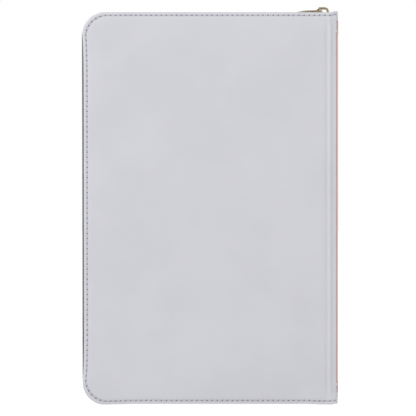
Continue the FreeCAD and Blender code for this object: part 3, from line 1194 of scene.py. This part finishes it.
@dataclass
class ZipPath:
    """The line that the zip's wall follows: along the head from the spine, round both fore corners
    and back along the tail."""

    corner: float = 9.3
    head: float = field(init=False)
    tail: float = field(init=False)
    fore: float = field(init=False)
    head_end: float = field(init=False)
    tail_end: float = field(init=False)

    def __post_init__(self) -> None:
        """Read the wall's place from the tape and stop nodes, and work out the runs' lengths."""
        low, high = node_box("front_zip_tape")
        self.head = np.mean([corner[2] for corner in node_box("front_zip_stop")])
        tape = high[2] - self.head
        self.tail = low[2] + tape
        self.fore = low[0] + tape
        self.head_end = high[0]
        self.tail_end = node_box("zip_bottom_stop")[0][0] - 0.3
        self.centre = self.fore + self.corner
        arc = self.corner * math.pi / 2
        first = self.head_end - self.centre
        upright = self.head - self.tail - 2 * self.corner
        self.marks = np.cumsum([first, arc, upright, arc, self.tail_end - self.centre])
        self.length = float(self.marks[-1])

    def at(self, along: Array) -> tuple[Array, Array, Array]:
        """Follow the path.

        Args:
            along: distances from the head end.

        Returns:
            Places, directions along and directions outwards, each as x, 0, z.
        """
        one, two, three, four = self.marks[:4]
        r = self.corner
        first = np.clip((along - one) / r, 0.0, math.pi / 2)
        second = np.clip((along - three) / r, 0.0, math.pi / 2)
        x = self.head_end - np.minimum(along, one) - r * np.sin(first) + r * (1 - np.cos(second))
        x = x + np.maximum(along - four, 0.0)
        fallen = np.clip(along - two, 0.0, three - two)
        z = self.head - r * (1 - np.cos(first)) - fallen - r * np.sin(second)
        turn = first + second
        none = np.zeros_like(turn)
        places = np.stack([x, none, z], axis=-1)
        ahead = np.stack([-np.cos(turn), none, -np.sin(turn)], axis=-1)
        out = np.stack([-np.sin(turn), none, np.cos(turn)], axis=-1)
        return places, ahead, out

    def bulge(self, along: Array, depth: Array) -> Array:
        """How far the wall bows outwards: most in the middle of the book and high on the fore edge.

        Args:
            along: distances from the head end.
            depth: distances from the middle of the book.

        Returns:
            The bow at each place.
        """
        places, _, out = self.at(along)
        high = places[..., 2] / self.head
        return (0.1 + (0.54 + 0.3 * high**2) * np.abs(out[..., 0]) ** 3) * (1.0 - (depth / 12.0) ** 2)


@dataclass
class ZipHalf:
    """One cover's half of the zip: woven tape with a sewn ridge, and a row of coil teeth that mesh
    with the other half's."""

    side: Side
    path: ZipPath
    tape_finish: bpy.types.Material
    coil_finish: bpy.types.Material
    tape_t: float = 0.5
    under: float = 0.45
    ridge_at: float = 3.1
    ridge: float = 0.32
    pitch: float = 1.3
    tooth_wide: float = 0.56
    tooth_high: float = 1.55
    tooth_long: float = 3.1
    mesh_past: float = 0.55
    pucker: float = 0.07
    pucker_pitch: float = 2.9

    def tape(self) -> bpy.types.Object:
        """The tape: a thin closed strip across the wall, carried along the path. It dips under the
        coil, stands up in a sewn ridge beside it, and puckers a little where it is sewn in."""
        along = np.linspace(0.0, self.path.length, 400)
        coil_side = [0.3, 1.0, 1.7, 2.1, 2.4, 2.7, 3.1, 3.5, 3.9]
        depth = np.array([*coil_side, 4.6, 6.0, 7.6, 9.2, 10.6, 11.5, 12.15])
        places, _, out = self.path.at(along)
        rows, pairs = [], []
        for face in (1, -1):
            for d in depth if face > 0 else depth[::-1]:
                lift = face * self.tape_t / 2 + self.path.bulge(along, np.full(along.shape, d))
                lift = lift + face * self.ridge * bell(d, self.ridge_at, 0.45)
                lift = lift - self.under * (1.0 - smooth(np.array(d), 1.8, 2.6))
                ripple = np.cos(along * (2 * math.pi / self.pucker_pitch))
                lift = lift + self.pucker * smooth(np.array(d), 6.0, 11.0) * ripple
                point = places + lift[:, None] * out
                point[:, 1] = self.side.value * d
                rows.append(point)
                pairs.append(np.stack([along, np.full(along.shape, d)], axis=-1))
        quads = grid_quads(len(rows), len(along), wrap_rows=True)
        name = f"{self.side.word}_tape"
        strip = build_mesh(name, np.stack(rows), quads, np.stack(pairs) * MM, cap=True)
        strip.data.materials.append(self.tape_finish)
        return strip

    def coil(self) -> bpy.types.Object:
        """The coil: one rounded tooth for each turn of the monofilament, its head past the middle."""
        phase = 0.25 if self.side is Side.FRONT else 0.75
        along = (np.arange(int(self.path.length / self.pitch)) + phase) * self.pitch
        places, ahead, out = self.path.at(along)
        middle = self.tooth_long / 2 - self.mesh_past
        places = places + self.path.bulge(along, np.zeros(along.shape))[:, None] * out
        places[:, 1] = self.side.value * middle
        across = np.zeros_like(ahead)
        across[:, 1] = -self.side.value
        template, quads = capsule(self.tooth_long, 1.0, 8, 8, 3.2)
        template[:, 1] *= self.tooth_wide / 2
        template[:, 2] *= self.tooth_high / 2
        share = template[:, 0] / (self.tooth_long / 2)
        template[:, 1] *= 1.0 + 0.25 * bell(share, 0.62, 0.22)
        points, quads = repeat_shape(template, quads, places, np.stack([across, ahead, out], axis=-2))
        coil = build_mesh(f"{self.side.word}_coil", points, quads)
        coil.data.materials.append(self.coil_finish)
        return coil

    def dress(self) -> None:
        """Build both and let them ride on the cover."""
        word = self.side.word
        for piece, part in ((self.tape(), "zip_tape"), (self.coil(), "zip_coil")):
            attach(piece, f"{word}_cover")
            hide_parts(f"{word}_{part}")
            LOG.info("%s: %d faces", piece.name, len(piece.data.polygons))


@dataclass
class TailTab:
    """The folded cloth end that closes the zip at the tail: a soft pad on which the book stands."""

    finish: bpy.types.Material
    sag: float = 0.36
    soft: float = 0.7

    def dress(self) -> None:
        """Build the pad inside its node's outline and let it ride on the spine."""
        low, high = node_box("zip_tail_tab")
        near, far = (low[0] + 0.1, low[1] + 0.1), (high[0] - 0.2, high[1] - 0.1)
        ring = rounded_ring(near, far, (2.6, 1.0, 1.0, 2.6), 0.8)
        profile = soft_edge(ring.reach, low[2] - self.sag, high[2] - 0.2, self.soft, 7)
        profile = [(ring.reach, profile[0][1]), (3.0, profile[0][1] + 0.02), *profile[1:]]
        tab = pad("tail_tab", ring, profile, lying, self.finish)
        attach(tab, "spine")
        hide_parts("zip_tail_tab")
        LOG.info("%s: %d faces", tab.name, len(tab.data.polygons))


@dataclass
class Slider:
    """The slider on the closed zip, with its arch and pull tab."""

    metal: bpy.types.Material
    plate_t: float = 0.6
    arch_half: float = 0.95
    arch_t: float = 1.2
    arch_power: float = 0.62
    eye_x: float = 54.05
    eye_z: float = 190.7
    tab_long: float = 16.5
    tab_half: float = 2.3
    tab_drop: float = 1.35

    def __post_init__(self) -> None:
        """Read the slider's place from its nodes."""
        self.low, self.high = node_box("slider_body")
        self.arch_low, self.arch_high = node_box("slider_bridge")

    def plates(self) -> list[bpy.types.Object]:
        """The two plates, the fin between them and the lips beside the back cover's tape."""
        x0, y0, z0 = self.low
        x1, y1, z1 = self.high
        shield = rounded_ring((x0, y0), (x1, y1), (2.2, 1.3, 1.3, 2.2), 0.6)
        made = []
        for word, low, high in (("top", z1 - self.plate_t, z1), ("under", z0, z0 + self.plate_t)):
            profile = soft_edge(shield.reach, low, high, 0.22)
            profile[-1] = (shield.reach, high + (0.12 if word == "top" else 0.0))
            made.append(pad(f"slider_{word}_plate", shield, profile, lying, self.metal))
        lip = rounded_ring((x0 + 1.4, y0 + 0.02), (x1 - 1.4, y0 + 0.68), (0.2,) * 4, 0.8)
        middle = (z0 + z1) / 2
        for word, low, high in (("top", middle + 0.5, z1 - 0.5), ("under", z0 + 0.5, middle - 0.5)):
            profile = soft_edge(lip.reach, low, high, 0.12)
            made.append(pad(f"slider_{word}_lip", lip, profile, lying, self.metal))
        fin = rounded_ring((x1 - 3.4, -0.33), (x1 - 0.45, 0.33), (0.3,) * 4, 0.4)
        profile = soft_edge(fin.reach, z0 + 0.4, z1 - 0.4, 0.05)
        made.append(pad("slider_fin", fin, profile, lying, self.metal))
        return made

    def arch(self) -> bpy.types.Object:
        """The arch: a flat bar carried over a squared half loop, whose x and z follow the cosine and
        the sine, each raised to one power below 1."""
        t = np.linspace(0.0, math.pi, 30)
        half = (self.arch_high[0] - self.arch_low[0]) / 2 - self.arch_t / 2
        middle = (self.arch_high[0] + self.arch_low[0]) / 2
        foot = self.high[2] - 0.3
        rise = self.arch_high[2] - self.arch_t / 2 - foot
        x = middle - half * np.sign(np.cos(t)) * np.abs(np.cos(t)) ** self.arch_power
        z = foot + rise * np.sin(t) ** self.arch_power
        path = np.stack([x, np.zeros_like(x), z], axis=-1)
        ahead = np.gradient(path, axis=0)
        ahead /= np.linalg.norm(ahead, axis=1, keepdims=True)
        across = np.broadcast_to([0.0, 1.0, 0.0], path.shape)
        out = np.cross(ahead, across)
        section = round_section(self.arch_half, self.arch_t / 2, 3.0)
        return tube("slider_arch", path, np.stack([across, out], axis=1), section, self.metal)

    def pull(self) -> bpy.types.Object:
        """The pull tab: a flat washer drawn between its outline and the slot of its eye, with
        rounded edges and a thicker bar at the eye, its far half bent down along the coil."""
        squared = round_section(1.0, 1.0, 4.2, 72)
        x = squared[:, 0] * (self.tab_long + 0.5) / 2 - (self.tab_long - 0.5) / 2
        waist = 1.0 - 0.22 * smooth(-x, 3.0, 9.0) + 0.16 * smooth(-x, 9.5, 15.0)
        outline = np.stack([x, squared[:, 1] * self.tab_half * waist], axis=-1)
        hole = np.stack([squared[:, 0] * 2.0 - 2.55, squared[:, 1] * 1.2], axis=-1)
        upper = [(0.0, 0.15), (0.08, 0.33), (0.22, 0.4), (0.5, 0.4), (0.84, 0.4), (0.95, 0.33), (1.0, 0.15)]
        lower = [(share, -level) for share, level in reversed(upper)]
        rows = []
        for share, level in upper + lower:
            flat = outline + share * (hole - outline)
            rise = level * (1.25 + 0.5 * smooth(flat[:, 0], -3.0, 0.2))
            z = self.eye_z + rise - self.tab_drop * smooth(-flat[:, 0], 6.0, 16.0)
            rows.append(np.stack([self.eye_x + flat[:, 0], flat[:, 1], z], axis=-1))
        points = np.stack(rows)
        quads = grid_quads(*points.shape[:2], wrap_rows=True, wrap_columns=True)
        tab = build_mesh("pull_tab_plate", points, quads)
        tab.data.materials.append(self.metal)
        return tab

    def dress(self) -> None:
        """Build the slider's pieces and join each to its body."""
        for piece in [*self.plates(), self.arch()]:
            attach(piece, "slider")
            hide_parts("slider_bridge" if piece.name == "slider_arch" else "slider_body")
            LOG.info("%s: %d faces", piece.name, len(piece.data.polygons))
        pull = self.pull()
        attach(pull, "pull_tab")
        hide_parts("pull_tab")
        for node in ("front_zip_stop", "back_zip_stop", "zip_bottom_stop"):
            give_finish(node, self.metal)


@dataclass
class PageBlock:
    """The sewn sections, the flyleaves, the bands and the cloth on their backs."""

    book: Measures
    paper: bpy.types.Material
    fly_paper: bpy.types.Material
    band: bpy.types.Material
    cloth: bpy.types.Material
    board: bpy.types.Material
    seed: int = 7
    corner: float = 8.0
    leaves: int = 10
    gap: float = 0.01
    folds: tuple[float, float, float] = (52.0, 54.0, 56.0)
    bend_before: float = 3.2
    bend_after: float = 4.5
    middle_z: float = 95.0
    leaf_end: float = 59.2

    def section(self, name: str, side: Side, low: float, high: float) -> bpy.types.Object:
        """One section: a block whose fore edges step in and out a little, leaf by leaf.

        Args:
            name: the piece's name.
            side: the half of the book that it is in.
            low: its depth from the middle of the book.
            high: the depth of its outer face.

        Returns:
            The piece.
        """
        x0, _, z0 = self.book.page_low
        x1, _, z1 = self.book.page_high
        ring = rounded_ring((x0, z0), (x1, z1), (self.corner, 0.6, 0.6, self.corner), 1.6)
        draw = np.random.default_rng(self.seed + int(10 * high) + side.value)
        levels = np.linspace(low, high, self.leaves + 1)
        insets = (ring.reach, 40, 26, 18, 14, 12, 10, 8, 6, 4, 2, 0.8)
        profile = [(float(inset), low) for inset in insets]
        for a, b in zip(levels, levels[1:]):
            step = float(draw.uniform(0.0, 0.16))
            profile += [(step + 0.06, a), (step, a * 0.7 + b * 0.3), (step, a * 0.3 + b * 0.7)]
        profile += [(float(inset), high) for inset in reversed(insets)]
        return pad(name, ring, profile, side.upright, self.paper)

    def bend(self, piece: bpy.types.Object, fold: float, depth: float) -> None:
        """Bake a piece's place into its mesh; the piece is not bent across its fold.

        Args:
            piece: the piece.
            fold: x of the fold; not used.
            depth: y at which the fold lies.
        """
        y, z = depth * MM, self.middle_z * MM
        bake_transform(piece)

    def dress(self) -> None:
        """Build the sections: the middle ones stay with the spine, and the rest are left where they are
        built.
        """
        half = node_box("front_section_3")[1][1]
        thick = half / 4
        for side in Side:
            word = side.word
            middle = self.section(f"{word}_middle_pages", side, self.gap, thick - self.gap)
            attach(middle, "spine")
            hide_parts(f"{word}_middle_section")
            for i, fold in enumerate(self.folds, start=1):
                body = f"{word}_pages_{i}"
                block = self.section(body, side, i * thick + self.gap, (i + 1) * thick - self.gap)
                self.bend(block, fold, side.value * (i + 1) * thick)
                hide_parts(f"{word}_section_{i}", f"{word}_gutter")
            leaf = self.flyleaf(side, half)
            self.bend(leaf, self.folds[2], side.value * half)
            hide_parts(f"{word}_flyleaf")
        for node in ("head_band", "tail_band"):
            give_finish(node, self.band)
        for node in ("spine_board", "front_cover_board", "back_cover_board"):
            give_finish(node, self.board)
        give_finish("spine_cloth", self.cloth)

    def flyleaf(self, side: Side, half: float) -> bpy.types.Object:
        """The flyleaf, a single heavier leaf on the outermost section.

        Args:
            side: the half of the book that it is in.
            half: the depth of the outermost section's face.

        Returns:
            The piece.
        """
        x0, _, z0 = self.book.page_low
        z1 = self.book.page_high[2]
        ring = rounded_ring((x0, z0), (self.leaf_end, z1), (self.corner, 0.6, 0.6, self.corner), 2.0)
        insets = (ring.reach, 40, 26, 18, 14, 12, 10, 8, 6, 4, 2, 0.5, 0.0)
        profile = [(float(inset), half + 0.03) for inset in insets]
        profile += [(float(inset), half + 0.2) for inset in reversed(insets)]
        return pad(f"{side.word}_end_leaf", ring, profile, side.upright, self.fly_paper)


@dataclass
class Studio:
    """The pale floor, the soft lights and the camera, which looks square-on at the back cover."""

    book: Measures
    distance: float = 4000.0
    view_width: float = 201.6
    aim_x: float = -1.09
    aim_z: float = 95.05
    floor_z: float = -0.4
    air: float = 0.6
    lamps: tuple[tuple[str, Colour, float, float], ...] = (
        ("key_light", (-0.80, -0.85, 1.25), 0.74, 19.5),
        ("spine_light", (1.30, -0.40, 0.50), 0.8, 3.0),
        ("back_light", (-0.60, 1.20, 0.90), 0.8, 8.0),
    )

    def floor(self) -> None:
        """Lay a plain pale floor: a flat grid far larger than the book."""
        reach = 30000.0
        side = np.linspace(-reach, reach, 9)
        x, y = np.meshgrid(side, side, indexing="ij")
        drop = np.full(x.shape, self.floor_z)
        points = np.stack([x, y, drop], axis=-1)
        sheet = build_mesh("studio_floor", points, grid_quads(9, 9)[:, ::-1], close=False)
        sheet.data.materials.append(StudioPaper().make())

    def lamp(self, name: str, place: Colour, size: float, power: float) -> None:
        """Hang one square soft light that faces the middle of the book.

        Args:
            name: the light's name.
            place: where it hangs, in metres.
            size: its side, in metres.
            power: its power, in watts.
        """
        data = bpy.data.lights.new(name, "AREA")
        data.shape = "SQUARE"
        data.size = size
        data.energy = power
        lamp = bpy.data.objects.new(name, data)
        bpy.context.collection.objects.link(lamp)
        away = np.array(place) - np.array([0.0, 0.0, self.aim_z * MM])
        back = away / np.linalg.norm(away)
        right = np.cross([0.0, 0.0, 1.0], back)
        right /= np.linalg.norm(right)
        turn = np.eye(4)
        turn[:3] = np.stack([right, np.cross(back, right), back, place], axis=1)
        lamp.matrix_world = Matrix(turn.tolist())

    def light(self) -> None:
        """Fill the room with even white light, shown as plain white behind, and add soft lamps."""
        world = bpy.data.worlds.new("studio_air")
        world.use_nodes = True
        tree = world.node_tree
        air = tree.nodes["Background"]
        air.inputs["Color"].default_value = (1.0, 1.0, 1.0, 1.0)
        seen = tree.nodes.new("ShaderNodeLightPath")
        level = tree.nodes.new("ShaderNodeMapRange")
        level.inputs["To Min"].default_value = self.air
        tree.links.new(seen.outputs["Is Camera Ray"], level.inputs["Value"])
        tree.links.new(level.outputs["Result"], air.inputs["Strength"])
        bpy.context.scene.world = world
        for name, place, size, power in self.lamps:
            self.lamp(name, place, size, power)

    def camera(self) -> None:
        """Set the camera far off with a long lens, so that the book is seen nearly flat."""
        data = bpy.data.cameras.new("camera")
        data.sensor_width = 36.0
        data.lens = data.sensor_width * self.distance / self.view_width
        data.clip_end = 100.0
        camera = bpy.data.objects.new("camera", data)
        bpy.context.collection.objects.link(camera)
        camera.location = (self.aim_x * MM, -(self.distance + self.book.half) * MM, self.aim_z * MM)
        camera.rotation_euler = (math.pi / 2, 0.0, 0.0)
        bpy.context.scene.camera = camera
        bpy.context.scene.view_settings.view_transform = "Standard"


def main() -> None:
    """Build every part of the book and the studio, in order."""
    logging.basicConfig(level=logging.INFO, format="%(name)s: %(message)s")
    book = Measures()
    leather = PearlLeather().make()
    thread = SewingThread().make()
    foil = PlatedMetal("copper_foil", (0.46, 0.262, 0.195), (0.34, 0.20, 0.155), 0.38).make()
    lining = Lining().make()
    for side in Side:
        Cover(side, book, leather, thread, foil, lining).dress()
    path = ZipPath()
    tape, coil = WovenTape().make(), NylonCoil().make()
    for side in Side:
        ZipHalf(side, path, tape, coil).dress()
    TailTab(tape).dress()
    gold = PlatedMetal().make()
    Slider(gold).dress()
    paper = Paper().make()
    end_paper = Paper("end_paper", (0.62, 0.60, 0.67), (0.5, 0.48, 0.55), 0.3, 0.2).make()
    band = StripedCloth("band_cloth", (0.75, 0.73, 0.78), (0.40, 0.36, 0.48), 1.2).make()
    cloth = StripedCloth("spine_mull", (0.82, 0.80, 0.74), (0.72, 0.70, 0.63), 0.9).make()
    board = StripedCloth("grey_board", (0.42, 0.40, 0.37), (0.38, 0.36, 0.33), 0.7, "Z").make()
    PageBlock(book, paper, end_paper, band, cloth, board).dress()
    studio = Studio(book)
    studio.floor()
    studio.light()
    studio.camera()


if __name__ == "__main__":
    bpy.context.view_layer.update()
    main()
